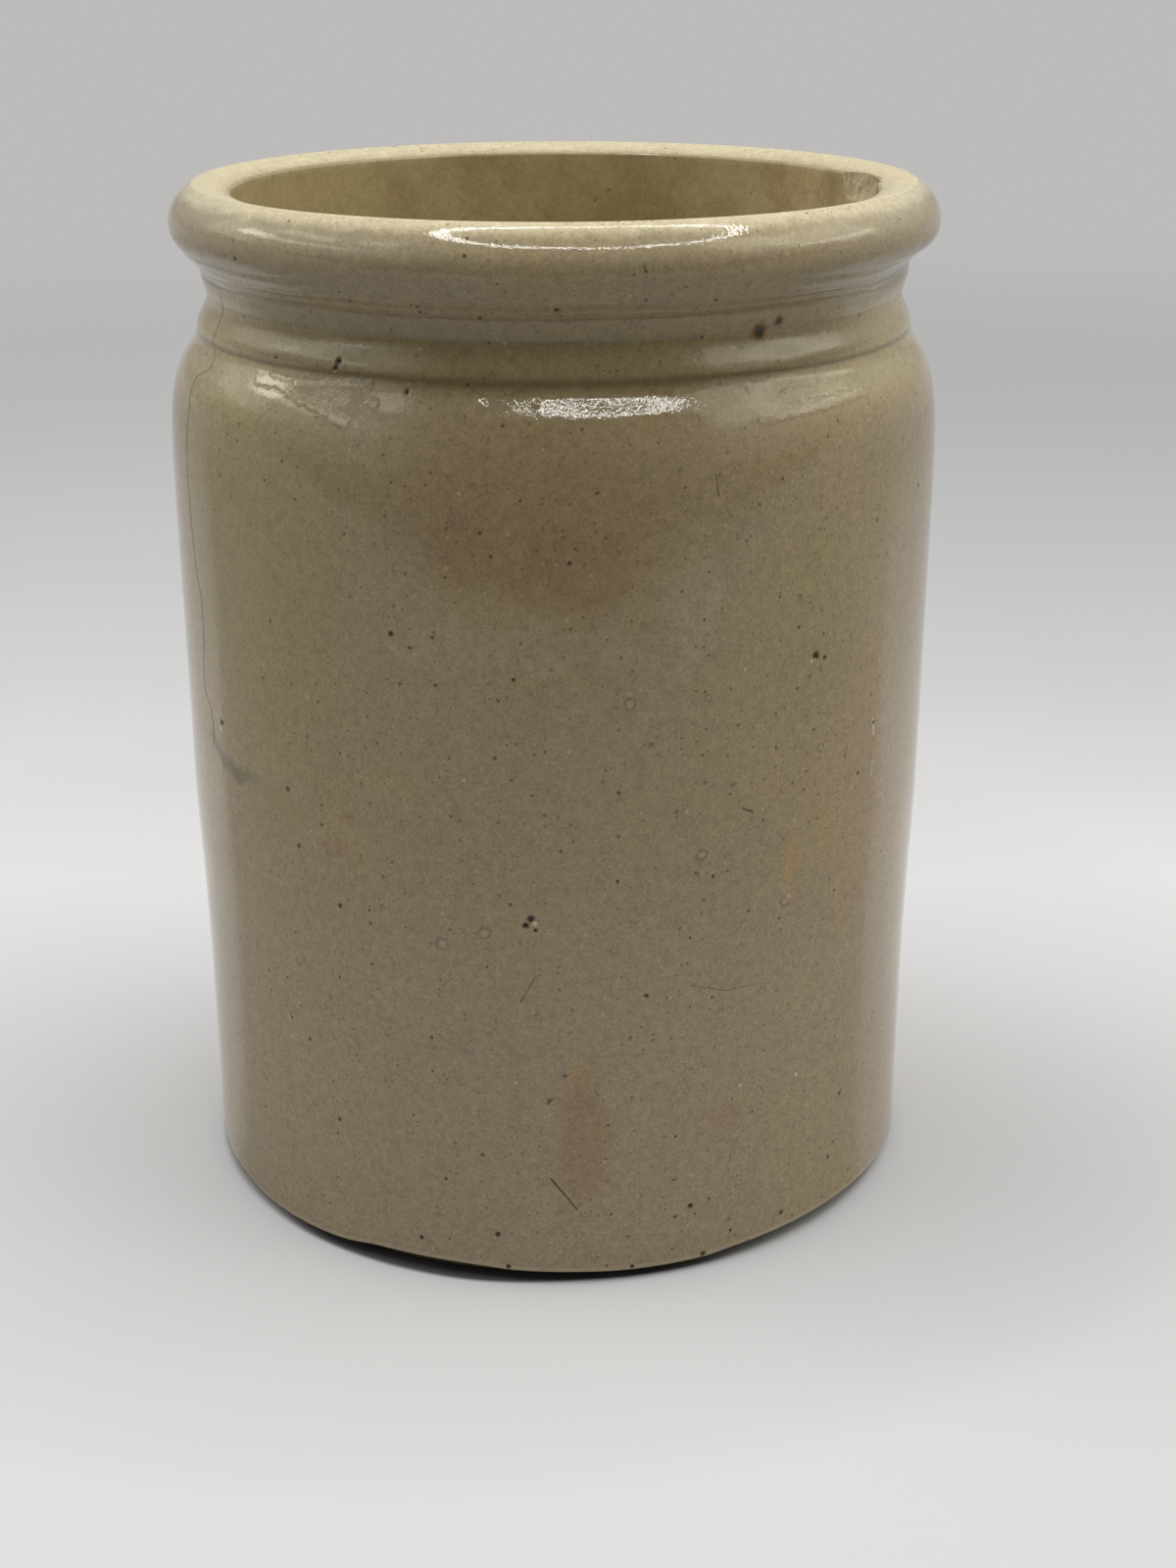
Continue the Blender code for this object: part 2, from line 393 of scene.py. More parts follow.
def ease(value, start, end, low=0.0, high=1.0):
    """A smooth step, from low where the value is at start to high where it is at end."""
    return put(value.id_data, "ShaderNodeMapRange", {
        "Value": value, "From Min": start, "From Max": end, "To Min": low, "To Max": high},
        interpolation_type="SMOOTHSTEP")


def band(value, start, full, fading, end):
    """1 between full and fading, and 0 before start and after the end."""
    return times(ease(value, start, full), ease(value, end, fading))


def measure(operation, *places):
    """A reckoning with places. A length, a distance and a dot product come out as numbers."""
    out = "Value" if operation in ("LENGTH", "DISTANCE", "DOT_PRODUCT") else "Vector"
    return put(places[0].id_data, "ShaderNodeVectorMath", enumerate(places), out, operation=operation)


def scaled(place, scale):
    return put(place.id_data, "ShaderNodeVectorMath", {0: place, "Scale": scale}, operation="SCALE")


def split(place):
    return put(place.id_data, "ShaderNodeSeparateXYZ", {"Vector": place}).node.outputs


def place_at(x, y, z=0.0):
    return put(x.id_data, "ShaderNodeCombineXYZ", {"X": x, "Y": y, "Z": z})


def wobble(place, scale, detail=2.0, roughness=0.5):
    """Noise about zero, from -0.5 to 0.5."""
    return less(put(place.id_data, "ShaderNodeTexNoise", {"Vector": place, "Scale": scale, "Detail": detail,
                                                          "Roughness": roughness}), 0.5)


def bend_curve(node, first, last, line):
    """Draws a curve into a curve node, through both its ends and the points of a line."""
    bends = node.mapping.curves[0]
    bends.points[0].location = (0.0, first)
    bends.points[1].location = (1.0, last)
    for share, lift in line:
        bends.points.new(share, lift)
    node.mapping.update()


def make_turning():
    tree = bpy.data.node_groups.new("turn_the_jar", "GeometryNodeTree")
    for name, kind, value in (("Geometry", "Geometry", None), ("Outline", "Object", None),
                              ("Faults", "Object", None), ("Glaze", "Material", None),
                              ("Bare Clay", "Material", None), ("Sheet Radius", "Float", SHEET_RADIUS),
                              ("Ring Depth", "Float", 0.03 * MM), ("Inside Rings", "Float", 0.22 * MM),
                              ("Unevenness", "Float", 0.1 * MM), ("Shallow Groove", "Float", 0.45 * MM),
                              ("Knock Depth", "Float", 0.35 * MM), ("Shoulder Tilt", "Float", 0.1 * MM),
                              ("Ridges", "Float", 0.03 * MM), ("Lean", "Float", LEAN),
                              ("Lean At Shoulder", "Float", LEAN_AT_SHOULDER)):
        socket = tree.interface.new_socket(name, in_out="INPUT", socket_type="NodeSocket" + kind)
        if value is not None:
            socket.default_value = value
    tree.interface.new_socket("Geometry", in_out="OUTPUT", socket_type="NodeSocketGeometry")
    given = tree.nodes.new("NodeGroupInput").outputs

    # Where each point of the sheet comes to lie, before anything is uneven
    flat = put(tree, "GeometryNodeInputPosition")
    flat_parts = split(flat)
    bearing = less(ratio(flat_parts["X"], given["Sheet Radius"]), math.pi)
    east = reckon("SINE", bearing)
    south = reckon("COSINE", bearing)
    walk = flat_parts["Y"]
    line = put(tree, "GeometryNodeObjectInfo", {"Object": given["Outline"]}, "Geometry")
    sample = put(tree, "GeometryNodeSampleCurve", {"Curves": line, "Length": walk}, mode="LENGTH").node
    at = split(sample.outputs["Position"])
    along = split(sample.outputs["Tangent"])
    radius = at["X"]
    level = at["Z"]
    out_way = times(along["Z"], -1.0)
    round_x = times(radius, east)
    north = times(south, -1.0)
    round_y = times(radius, north)
    solid_place = place_at(round_x, round_y, level)
    ring_place = place_at(times(round_x, 0.05), times(round_y, 0.05), walk)

    def spanning(span):
        """How far a level lies inside a span of heights."""
        return band(level, *[height * MM for height in span])

    # How far the surface stands in or out, along its own normal
    outside = ease(walk, crest_walk - 2 * MM, crest_walk + 4 * MM)
    fine_rings = times(wobble(ring_place, 420.0, 3.0), given["Ring Depth"])
    finger_rings = times(wobble(ring_place, 110.0, 1.0), given["Inside Rings"], less(1.0, outside))
    uneven = times(wobble(solid_place, 55.0, 2.0), given["Unevenness"])
    at_front = ease(south, math.cos(math.radians(78)), math.cos(math.radians(48)))
    filled = times(spanning(GROOVE_SPAN), outside, at_front, given["Shallow Groove"])
    off_knock = unsigned(less(bearing, KNOCK_BEARING))
    knocked = times(spanning(KNOCK_SPAN), outside, ease(off_knock, 0.5, 0.15), given["Knock Depth"])

    # The shoulder is a little steeper to the left, and fine ridges run round under the rim
    to_side = unsigned(bearing)
    on_shoulder = times(spanning(TILT_SPAN), times(outside, ease(to_side, 1.1, 0.5)))
    tilted = times(less(bearing, TILT_BEARING), on_shoulder, given["Shoulder Tilt"])
    under_rim = times(spanning(RIDGE_SPAN), outside, ease(to_side, 0.3, 0.8, 0.25, 1.0))
    ridge_turn = add_up(ratio(level, RIDGE_SPACING), times(wobble(solid_place, 60.0, 2.0), 9.0))
    ridges = times(reckon("SINE", ridge_turn), under_rim, given["Ridges"])

    # The nearest fault: how near, of what kind, and what it does
    marks = put(tree, "GeometryNodeObjectInfo", {"Object": given["Faults"]}, "Geometry")
    nearest = put(tree, "GeometryNodeSampleNearest", {"Geometry": marks, "Sample Position": flat},
                  domain="POINT")

    def at_nearest(value, data_type="FLOAT"):
        return put(tree, "GeometryNodeSampleIndex", {"Geometry": marks, "Value": value, "Index": nearest},
                   data_type=data_type, domain="POINT")

    def of_nearest(name):
        return at_nearest(put(tree, "GeometryNodeInputNamedAttribute", {"Name": name}, "Attribute",
                              data_type="FLOAT"))

    gap = measure("DISTANCE", flat, at_nearest(flat, "FLOAT_VECTOR"))
    ragged = add_up(1.0, times(wobble(flat, 1400.0, 2.0), 0.9))
    share = ratio(times(gap, ragged), of_nearest("radius"))
    kind = of_nearest("kind")
    is_kind = [reckon("COMPARE", kind, float(number), 0.5) for number in range(6)]
    hole = ease(share, 1.0, 0.35)
    ring = band(share, 0.45, 0.95, 1.0, 1.5)
    ringed = is_kind[BLISTER]
    shape = add_up(times(hole, less(1.0, ringed)), times(ring, ringed, -1.0))
    sink = times(shape, of_nearest("depth"))
    dark = add_up(times(ease(share, 1.05, 0.55), add_up(is_kind[PIT], is_kind[SPECK])),
                  times(ease(share, 1.05, 0.6), is_kind[RUST]), times(ring, ringed, 0.32))
    pale = times(ease(share, 1.0, 0.5), add_up(is_kind[GRIT], times(ringed, 0.18)))
    rust = times(ease(share, 1.6, 1.0), is_kind[RUST])

    # The trimmed foot: where its edge dips and where it is cut higher
    trimmed = put(tree, "ShaderNodeFloatCurve", {"Value": ratio(add_up(bearing, math.pi), 2 * math.pi)})
    bend_curve(trimmed.node, 0.5, 0.5, TRIM_LINE)
    near_foot = times(spanning(TRIM_SPAN), outside)
    foot_wave = times(less(trimmed, 0.5), near_foot, TRIM_HEIGHT)

    # The final place
    sunk = times(add_up(sink, knocked), -1.0)
    stand = add_up(fine_rings, finger_rings, uneven, filled, tilted, ridges, sunk)
    new_radius = add_up(radius, times(stand, out_way))
    lean = times(ease(level, 10 * MM, 80 * MM), given["Lean At Shoulder"])
    upper_lean = times(ease(level, 86 * MM, 100 * MM), less(given["Lean"], given["Lean At Shoulder"]))
    new_x = add_up(times(new_radius, east), lean, upper_lean)
    new_level = add_up(level, times(stand, along["X"]), foot_wave)
    new_level = reckon("MINIMUM", reckon("MAXIMUM", new_level, 0.0), crest_level)
    place = place_at(new_x, times(new_radius, north), new_level)

    shape_now = given["Geometry"]
    for name, value in (("walk", walk), ("dark", dark), ("pale", pale), ("rust", rust)):
        shape_now = put(tree, "GeometryNodeStoreNamedAttribute", {
            "Geometry": shape_now, "Name": name, "Value": value}, data_type="FLOAT", domain="POINT")
    under = reckon("LESS_THAN", split(put(tree, "GeometryNodeInputPosition"))["Z"], BARE_BELOW)
    for kind, inputs in (("SetPosition", {"Position": place}), ("MergeByDistance", {"Distance": 1e-6}),
                         ("SetShadeSmooth", {}), ("RealizeInstances", {}),
                         ("SetMaterial", {"Material": given["Glaze"]}),
                         ("SetMaterial", {"Selection": under, "Material": given["Bare Clay"]})):
        shape_now = put(tree, "GeometryNode" + kind, {"Geometry": shape_now, **inputs})
    result = tree.nodes.new("NodeGroupOutput")
    tree.links.new(shape_now, result.inputs["Geometry"])
    return tree


# The glaze
# Salt thrown into the kiln leaves a clear, glossy skin over the grey-buff clay, dimpled like an
# orange. Iron in the clay shows through it as specks, and it is browner where it lies thick.
CLAY_GREY = (0.286, 0.226, 0.134, 1.0)
CLAY_BUFF = (0.304, 0.234, 0.128, 1.0)
OLIVE = (0.265, 0.222, 0.105, 1.0)
MILKY = (0.33, 0.28, 0.175, 1.0)
BROWN = (0.25, 0.175, 0.097, 1.0)
WARM = (0.31, 0.228, 0.125, 1.0)
WARM_BROWN = (0.262, 0.178, 0.094, 1.0)
PALE_CLAY = (0.304, 0.248, 0.166, 1.0)
ORANGE = (0.36, 0.235, 0.105, 1.0)
SMEAR = (0.165, 0.135, 0.072, 1.0)
PAINTED_SIDE_LIGHT = (0.44, 0.362, 0.205, 1.0)
RIM_CREAM_TOP_LIT = (0.7, 0.622, 0.42, 1.0)
NECK_OLIVE = (0.205, 0.164, 0.082, 1.0)
INSIDE_OLIVE = (0.4, 0.325, 0.168, 1.0)
INSIDE_PALE = (0.53, 0.43, 0.245, 1.0)
INSIDE_BROWN = (0.29, 0.215, 0.105, 1.0)
IRON = (0.026, 0.016, 0.008, 1.0)
UMBER = (0.062, 0.034, 0.016, 1.0)
PAINTED_SHADE_BROWN = (0.08, 0.055, 0.025, 1.0)
RUST_BROWN = (0.18, 0.1, 0.015, 1.0)
PALE_GRIT = (0.62, 0.58, 0.48, 1.0)
BARE_CLAY = (0.42, 0.34, 0.235, 1.0)


def open_group(name, inputs, outputs):
    """A new shader node group, and the sockets that its inputs are read from."""
    tree = bpy.data.node_groups.new(name, "ShaderNodeTree")
    for way, sockets in (("INPUT", inputs), ("OUTPUT", outputs)):
        for socket in sockets:
            kind = "NodeSocketVector" if socket in ("Place", "Flat") else "NodeSocketFloat"
            tree.interface.new_socket(socket, in_out=way, socket_type=kind)
    return tree, tree.nodes.new("NodeGroupInput").outputs


def close_group(tree, results):
    """Sends the results out of a group."""
    end = tree.nodes.new("NodeGroupOutput")
    for name, value in results.items():
        tree.links.new(value, end.inputs[name])
    return tree


def tint(mask, below, above):
    """One colour over another, as far as the mask says."""
    return put(mask.id_data, "ShaderNodeMix", {0: mask, 6: below, 7: above}, 2, data_type="RGBA")


def make_unrolling():
    """Where a point of the jar lies in millimetres: on the jar unrolled from the front, and in the clay."""
    tree, given = open_group("unrolled_place", ("Place",), ("Flat", "Place"))
    parts = split(given["Place"])
    bearing = reckon("ARCTAN2", parts["X"], times(parts["Y"], -1.0))
    across = times(bearing, SHEET_RADIUS / MM)
    up = ratio(parts["Z"], MM)
    flat = place_at(across, up)
    solid = scaled(given["Place"], 1 / MM)
    return close_group(tree, {"Flat": flat, "Place": solid})


def make_specks():
    """Scattered round specks: a share of the cells of a pattern have one, of unlike sizes."""
    tree, given = open_group("specks", ("Place", "Spacing", "Share", "Size", "Soft"), ("Mask",))
    scale = ratio(1.0, given["Spacing"])
    cells = put(tree, "ShaderNodeTexVoronoi", {"Vector": given["Place"], "Scale": scale}).node.outputs
    lots = put(tree, "ShaderNodeSeparateColor", {"Color": cells["Color"]}).node.outputs
    there = reckon("LESS_THAN", lots[0], given["Share"])
    size = times(given["Size"], add_up(0.35, lots[1]))
    gap = times(cells["Distance"], given["Spacing"])
    inner = times(size, less(1.0, given["Soft"]))
    spot = ease(gap, size, inner)
    strength = add_up(0.45, times(lots[2], 0.55))
    return close_group(tree, {"Mask": times(spot, there, strength)})


def make_patch():
    """A soft oval patch with a ragged edge, on the unrolled jar."""
    tree, given = open_group("soft_patch", ("Flat", "Place", "Across", "Up", "Half Width", "Half Height",
                                            "Ragged", "Soft"), ("Mask",))
    middle = place_at(given["Across"], given["Up"])
    reach = place_at(given["Half Width"], given["Half Height"], 1.0)
    off = measure("SUBTRACT", given["Flat"], middle)
    off = measure("DIVIDE", off, reach)
    length = measure("LENGTH", off)
    edge = times(wobble(given["Place"], 0.22, 4.0, 0.6), given["Ragged"])
    border = times(given["Soft"], 0.35)
    begin = add_up(0.8, border)
    full = less(0.8, border)
    return close_group(tree, {"Mask": ease(add_up(length, edge), begin, full)})


def make_stroke():
    """A scratch, crease or smear between two places on the unrolled jar."""
    tree, given = open_group("stroke", ("Flat", "Place", "Start Across", "Start Up", "End Across", "End Up",
                                        "Half Width", "Ragged"), ("Mask",))
    start = place_at(given["Start Across"], given["Start Up"])
    end = place_at(given["End Across"], given["End Up"])
    line = measure("SUBTRACT", end, start)
    off = measure("SUBTRACT", given["Flat"], start)
    shared = measure("DOT_PRODUCT", off, line)
    whole = measure("DOT_PRODUCT", line, line)
    share = put(tree, "ShaderNodeClamp", {"Value": ratio(shared, whole)})
    nearest = scaled(line, share)
    gap = measure("DISTANCE", off, nearest)
    gap = add_up(gap, times(wobble(given["Place"], 0.9, 3.0), given["Ragged"]))
    inner = times(given["Half Width"], 0.3)
    return close_group(tree, {"Mask": ease(gap, given["Half Width"], inner)})


def make_peel():
    """The dimples of the salt skin, in millimetres: broad ones, and fine ones that break up a highlight."""
    tree, given = open_group("orange_peel", ("Place", "Broad", "Fine", "Grain"), ("Height",))
    broad = times(wobble(given["Place"], 0.75, 1.0), given["Broad"])
    fine = times(wobble(given["Place"], 2.4, 1.0), given["Fine"])
    grain = times(wobble(given["Place"], 5.5, 1.0), given["Grain"])
    return close_group(tree, {"Height": add_up(broad, fine, grain)})


unrolling = make_unrolling()
specks = make_specks()
soft_patch = make_patch()
stroke = make_stroke()
orange_peel = make_peel()

# Patches where the glaze ran thick or thin, on the jar unrolled from the front, in mm:
# across, up, half width, half height, how ragged, how soft, strength, colour
PATCHES = (
    (-1, 81.5, 15, 8.5, 1, 1, 0.5, BROWN), (1.5, 75.5, 7.5, 5, 1.5, 0.5, 0.5, BROWN),
    (-8.5, 77, 4.5, 3.2, 1.6, 0.4, 0.35, BROWN), (0, 18, 60, 30, 0.3, 1, 0.55, PALE_CLAY),
    (-5, 68, 13, 3.5, 2, 0.35, 0.3, MILKY), (13, 73, 3.5, 8, 1.8, 0.35, 0.3, MILKY),
    (2.4, 17, 3.1, 8.5, 1.4, 1, 0.62, WARM_BROWN), (2, 24.2, 1.3, 1.4, 1.2, 0.6, 0.5, ORANGE),
    (34, 50, 6, 20, 0.8, 0.6, 0.68, WARM), (24.5, 43.5, 1.1, 4.5, 1.2, 0.7, 0.6, ORANGE),
    (27.5, 53, 0.6, 1.8, 1, 0.7, 0.6, ORANGE), (29, 46.5, 0.9, 3, 1.2, 0.7, 0.52, ORANGE),
    (32, 39, 1, 3.5, 1, 0.7, 0.4, ORANGE), (27, 68, 7, 14, 1, 1, 0.55, OLIVE),
    (-32, 72, 16, 22, 0.8, 1, 0.6, OLIVE), (-22.5, 46, 2.2, 1.6, 1.6, 0.5, 0.45, BROWN),
    (-20.5, 49.3, 1.8, 1.2, 1.6, 0.5, 0.4, BROWN), (-23, 52.3, 3.5, 2, 2, 0.5, 0.4, OLIVE),
    (9, 58.4, 0.32, 0.32, 0.2, 0.6, 0.7, RUST_BROWN), (7.2, 27.8, 0.3, 0.3, 0.2, 0.6, 0.6, RUST_BROWN),
    (17.8, 16.9, 2.2, 2, 1.8, 0.6, 0.4, WARM_BROWN))

# Layers of specks: spacing, share of the places that have one, size, how soft, strength, colour
SPECK_LAYERS = ((0.62, 0.45, 0.17, 0.7, 0.58, UMBER), (1.15, 0.4, 0.2, 0.5, 0.85, UMBER),
                (4.6, 0.5, 0.23, 0.4, 0.9, UMBER), (2.6, 0.35, 0.45, 0.9, 0.4, RUST_BROWN),
                (1.1, 0.25, 0.22, 0.8, 0.35, PALE_GRIT), (6.0, 0.35, 0.24, 0.5, 0.9, PALE_GRIT))

# Turned creases, painted darker as painted shade: height, half width, strength
CREASES = ((91.78, 0.9, 0.55), (97.5, 0.2, 0.4), (95.45, 0.25, 0.2), (96.5, 0.12, 0.15))

# The hair crack, from its foot to its top: the share of its height, and the share of its span
CRACK_TOP = 97.0
CRACK_FOOT = 51.0
CRACK_ACROSS = -46.3
CRACK_SPAN = 5.0
CRACK_BENDS = ((0.0, 0.7), (0.06, 0.74), (0.11, 0.55), (0.16, 0.34), (0.21, 0.44), (0.33, 0.55), (0.39, 0.38),
               (0.52, 0.22), (0.66, 0.17), (0.75, 0.2), (0.81, 0.1), (0.85, 0.62), (0.9, 0.28), (1.0, 0.6))

# Smears and scratches: start, end, half width, how ragged, strength, colour
STROKES = (
    ((-42.9, 52.6), (-40, 50.8), 1.1, 1.6, 0.75, SMEAR), ((-40, 50.8), (-37.5, 50), 1.3, 1.8, 0.8, SMEAR),
    ((-37.5, 50), (-34, 50.6), 1.1, 2.2, 0.75, SMEAR), ((-33.5, 50.2), (-28, 48.4), 1.8, 4.5, 0.55, OLIVE),
    ((-26, 54.2), (-20.5, 54.2), 0.5, 0.8, 0.3, SMEAR), ((-0.8, 12.3), (1.8, 8.8), 0.14, 0.1, 0.85, IRON),
    ((-3.6, 32.1), (-2.2, 34.7), 0.1, 0.1, 0.55, IRON), ((13.4, 32.7), (17.3, 31.4), 0.1, 0.08, 0.4, IRON),
    ((17.3, 31.4), (21.1, 31.3), 0.1, 0.08, 0.4, IRON), ((-17.3, 26.4), (19.8, 25.6), 0.12, 0.5, 0.1, IRON),
    ((15, 83.6), (15.2, 81.6), 0.1, 0.1, 0.5, IRON), ((18.5, 50.6), (19.6, 50.1), 0.15, 0.1, 0.7, IRON),
    ((36.9, 54), (36.6, 55.8), 0.22, 0.15, 0.5, PALE_GRIT),
    ((36.8, 49.6), (37, 51.2), 0.16, 0.15, 0.4, PALE_GRIT))
SMEAR_WIDTH = 0.4

# Thick runs of glaze that stand up on the shoulder
RUNS = (((-33.4, 90.4), (-28.8, 90.1)), ((-28.8, 90.1), (-23.6, 88.7)), ((-23.6, 88.7), (-20.4, 87.8)),
        ((-27.4, 90), (-18.7, 91.1)), ((20.5, 88), (25.4, 88.3)), ((25.4, 88.3), (35, 88.8)),
        ((23.5, 89.6), (31.9, 89.7)))
RUN_HALF_WIDTH = 0.75
RUN_HEIGHT = 0.055

# The height of the salt skin's broad and fine dimples and of its grain
PEEL_BROAD = 0.013
PEEL_FINE = 0.01
PEEL_GRAIN = 0.007


def use(group, out, *values):
    """Puts a node group into the tree of the first value, with a value for each of its inputs in turn."""
    return put(values[0].id_data, "ShaderNodeGroup", enumerate(values), out, node_tree=group)


def open_material(name):
    """A new material, its tree and its shader, and where a point lies on the unrolled jar and in the clay."""
    material = bpy.data.materials.new(name)
    material.use_nodes = True
    tree = material.node_tree
    object_place = put(tree, "ShaderNodeTexCoord", out="Object")
    flat, place = use(unrolling, "Flat", object_place).node.outputs
    return material, tree, tree.nodes["Principled BSDF"], flat, place


def dress(shader, colour, rough, height):
    """Gives a shader its colour, its roughness and its relief in millimetres."""
    tree = shader.id_data
    bump = put(tree, "ShaderNodeBump", {"Height": height, "Distance": MM, "Strength": 1.0})
    for name, value in (("Base Color", colour), ("Roughness", rough), ("Normal", bump)):
        tree.links.new(value, shader.inputs[name])


def make_glaze():
    glaze, tree, shader, flat, place = open_material("salt_glaze")
    shader.inputs["IOR"].default_value = 1.54
    across, up, _ = split(flat)
    to_side = unsigned(across)
    walk = put(tree, "ShaderNodeAttribute", out="Fac", attribute_name="walk")
    outside = ease(walk, crest_walk - 3.8 * MM, crest_walk - 3.3 * MM)

    # Broad clouds of grey and buff, then the patches
    colour = tint(ease(wobble(place, 0.045, 3.0, 0.6), -0.12, 0.12), CLAY_GREY, CLAY_BUFF)
    for *oval, strength, hue in PATCHES:
        colour = tint(times(use(soft_patch, "Mask", flat, place, *oval), strength), colour, hue)

    # The glaze ran thick and olive in the neck and thin and cream over the rim, with the top of the rim
    # painted paler still as painted light from above; the inside is brown
    uneven_up = add_up(up, times(wobble(place, 0.25, 3.0), 3.0))
    in_neck = times(ease(uneven_up, 86.0, 92.5), ease(up, 97.5, 95.0, 0.1, 1.0),
                    ease(to_side, 50.0, 30.0, 0.1, 1.0), ease(up, 103.0, 100.0), 0.9)
    colour = tint(in_neck, colour, NECK_OLIVE)
    # Painted light: the shoulder and the neck are painted paler towards the left and right sides, where light
    # from the sides falls, and the neck's olive above fades there for the same reason
    beyond = less(to_side, ease(up, 91.0, 93.0, 0.0, 10.0))
    painted_side_light = times(ease(beyond, 18.0, 38.0), ease(up, 84.0, 89.5), ease(up, 97.2, 95.8), 0.7)
    colour = tint(painted_side_light, colour, PAINTED_SIDE_LIGHT)
    under_rim = times(band(up, 96.8, 97.8, 101.0, 102.2), ease(to_side, 12.0, 30.0, 0.0, 0.55))
    colour = tint(under_rim, colour, NECK_OLIVE)
    # The rim is cream where the glaze is thin, and painted paler on its top: painted light from above
    uneven_rim = add_up(up, times(wobble(place, 0.4, 3.0), 0.8))
    rim_cream_and_top_light = add_up(ease(up, 101.6, 103.8, 0.0, 0.2), ease(uneven_rim, 104.6, 105.8, 0.0, 0.72))
    colour = tint(times(rim_cream_and_top_light, outside), colour, RIM_CREAM_TOP_LIT)
    in_clay = split(place)
    back = less(in_clay["Y"], times(in_clay["X"], 0.4))
    inside = tint(ease(back, 30.0, 2.0), INSIDE_OLIVE, INSIDE_PALE)
    cloudy = ease(wobble(place, 0.14, 4.0, 0.65), -0.1, 0.18)
    inside = tint(times(cloudy, 0.6), inside, INSIDE_BROWN)
    colour = tint(less(1.0, outside), colour, inside)

    # Mottling as fine as the grain of the clay, and the specks
    grain = add_up(times(wobble(place, 1.1, 3.0, 0.65), 0.6), times(wobble(place, 3.4, 2.0, 0.7), 0.75))
    grain = times(grain, ease(outside, 0.0, 1.0, 0.7, 1.0))
    colour = put(tree, "ShaderNodeHueSaturation", {"Color": colour, "Value": add_up(1.0, grain)}, "Color")
    fewer_inside = ease(outside, 0.0, 1.0, 0.55, 1.0)
    for *layer, strength, hue in SPECK_LAYERS:
        colour = tint(times(use(specks, "Mask", place, *layer), fewer_inside, strength), colour, hue)

    # Painted shade: darker along the turned creases, and narrower towards the sides
    for level, half_width, strength in CREASES:
        gap = unsigned(add_up(up, -level, times(wobble(place, 0.5, 2.0), 0.25)))
        reach = times(ease(to_side, 14.0, 27.0, 1.0, 0.5), half_width)
        colour = tint(times(ease(gap, reach, 0.0), outside, strength), colour, PAINTED_SHADE_BROWN)

    # The hair crack down the left of the shoulder, the smear where it ends and the scratches
    crack = put(tree, "ShaderNodeFloatCurve", {"Value": put(tree, "ShaderNodeMapRange", {
        "Value": up, "From Min": CRACK_FOOT, "From Max": CRACK_TOP})})
    bend_curve(crack.node, CRACK_BENDS[0][1], CRACK_BENDS[-1][1], CRACK_BENDS[1:-1])
    crack_across = add_up(CRACK_ACROSS, times(crack, CRACK_SPAN), times(wobble(place, 0.8, 3.0), 0.5))
    marks = times(ease(unsigned(less(across, crack_across)), 0.17, 0.05),
                  band(up, CRACK_FOOT, CRACK_FOOT + 1.0, CRACK_TOP - 1.0, CRACK_TOP), outside)
    colour = tint(times(marks, 0.7), colour, IRON)
    for start, end, half_width, ragged, strength, hue in STROKES:
        mask = times(use(stroke, "Mask", flat, place, *start, *end, half_width, ragged), strength, outside)
        colour = tint(mask, colour, hue)
        marks = reckon("MAXIMUM", marks, times(mask, 0.3 if half_width > SMEAR_WIDTH else 1.0))

    # The edge of the foot is worn through to pale clay, and the bevel under it is painted dark: painted shade
    # under the foot
    along_foot = less(walk, foot_walk)
    worn = band(along_foot, -0.45 * MM, -0.15 * MM, 0.05 * MM, 0.25 * MM)
    colour = tint(times(worn, 0.55), colour, BARE_CLAY)
    colour = tint(ease(along_foot, 0.1 * MM, 0.35 * MM, 0.0, 0.8), colour, PAINTED_SHADE_BROWN)

    # The faults
    for name, strength, hue in (("pale", 0.7, PALE_GRIT), ("rust", 0.95, RUST_BROWN), ("dark", 0.95, IRON)):
        mask = put(tree, "ShaderNodeAttribute", out="Fac", attribute_name=name)
        colour = tint(times(mask, strength), colour, hue)

    # Gloss: wet where the salt is thick, duller where the jar was handled and where it stood
    far_lip = times(ease(in_clay["Y"], 29.0, 31.5), ease(walk, crest_walk - 2.7 * MM, crest_walk - 3.2 * MM))
    on_lip = band(walk, crest_walk - 4.6 * MM, crest_walk - 4.2 * MM, crest_walk, crest_walk + 0.4 * MM)
    dry_lip = times(on_lip, less(1.0, far_lip))
    soft_hollow = times(ease(unsigned(less(up, 94.0)), 2.4, 1.4), ease(to_side, 14.0, 24.0), outside)
    rusty = put(tree, "ShaderNodeAttribute", out="Fac", attribute_name="rust")
    rough = add_up(0.05, times(ease(wobble(place, 0.3, 3.0), 0.0, 0.25), 0.07), times(marks, 0.3),
                   times(ease(up, 3.0, 1.0), 0.2), times(dry_lip, 0.35), times(soft_hollow, 0.13),
                   times(rusty, 0.15))

    # Relief: the dimples, the turner's marks, and the runs that stand up
    peel = use(orange_peel, "Height", place, PEEL_BROAD, PEEL_FINE, PEEL_GRAIN)
    along_turn = measure("MULTIPLY", place, (0.12, 0.12, 1.0))
    runs = 0.0
    for start, end in RUNS:
        runs = reckon("MAXIMUM", runs, use(stroke, "Mask", flat, place, *start, *end, RUN_HALF_WIDTH, 1.0))
    height = add_up(peel, times(wobble(along_turn, 1.1, 2.0), 0.008),
                    times(wobble(along_turn, 0.3, 1.0), 0.03), times(runs, RUN_HEIGHT), times(marks, -0.05))
    dress(shader, colour, rough, height)
    return glaze


glaze = make_glaze()

# The bare clay
# The base was wiped clean of glaze so that the jar didn't stick in the kiln. It is dry, pale and
# sandy, and dragged in arcs where a wire cut it from the wheel.
BARE_CLAY_DARK = (0.25, 0.185, 0.12, 1.0)
WIRE_CENTRE = (-70.0, 45.0, 0.0)


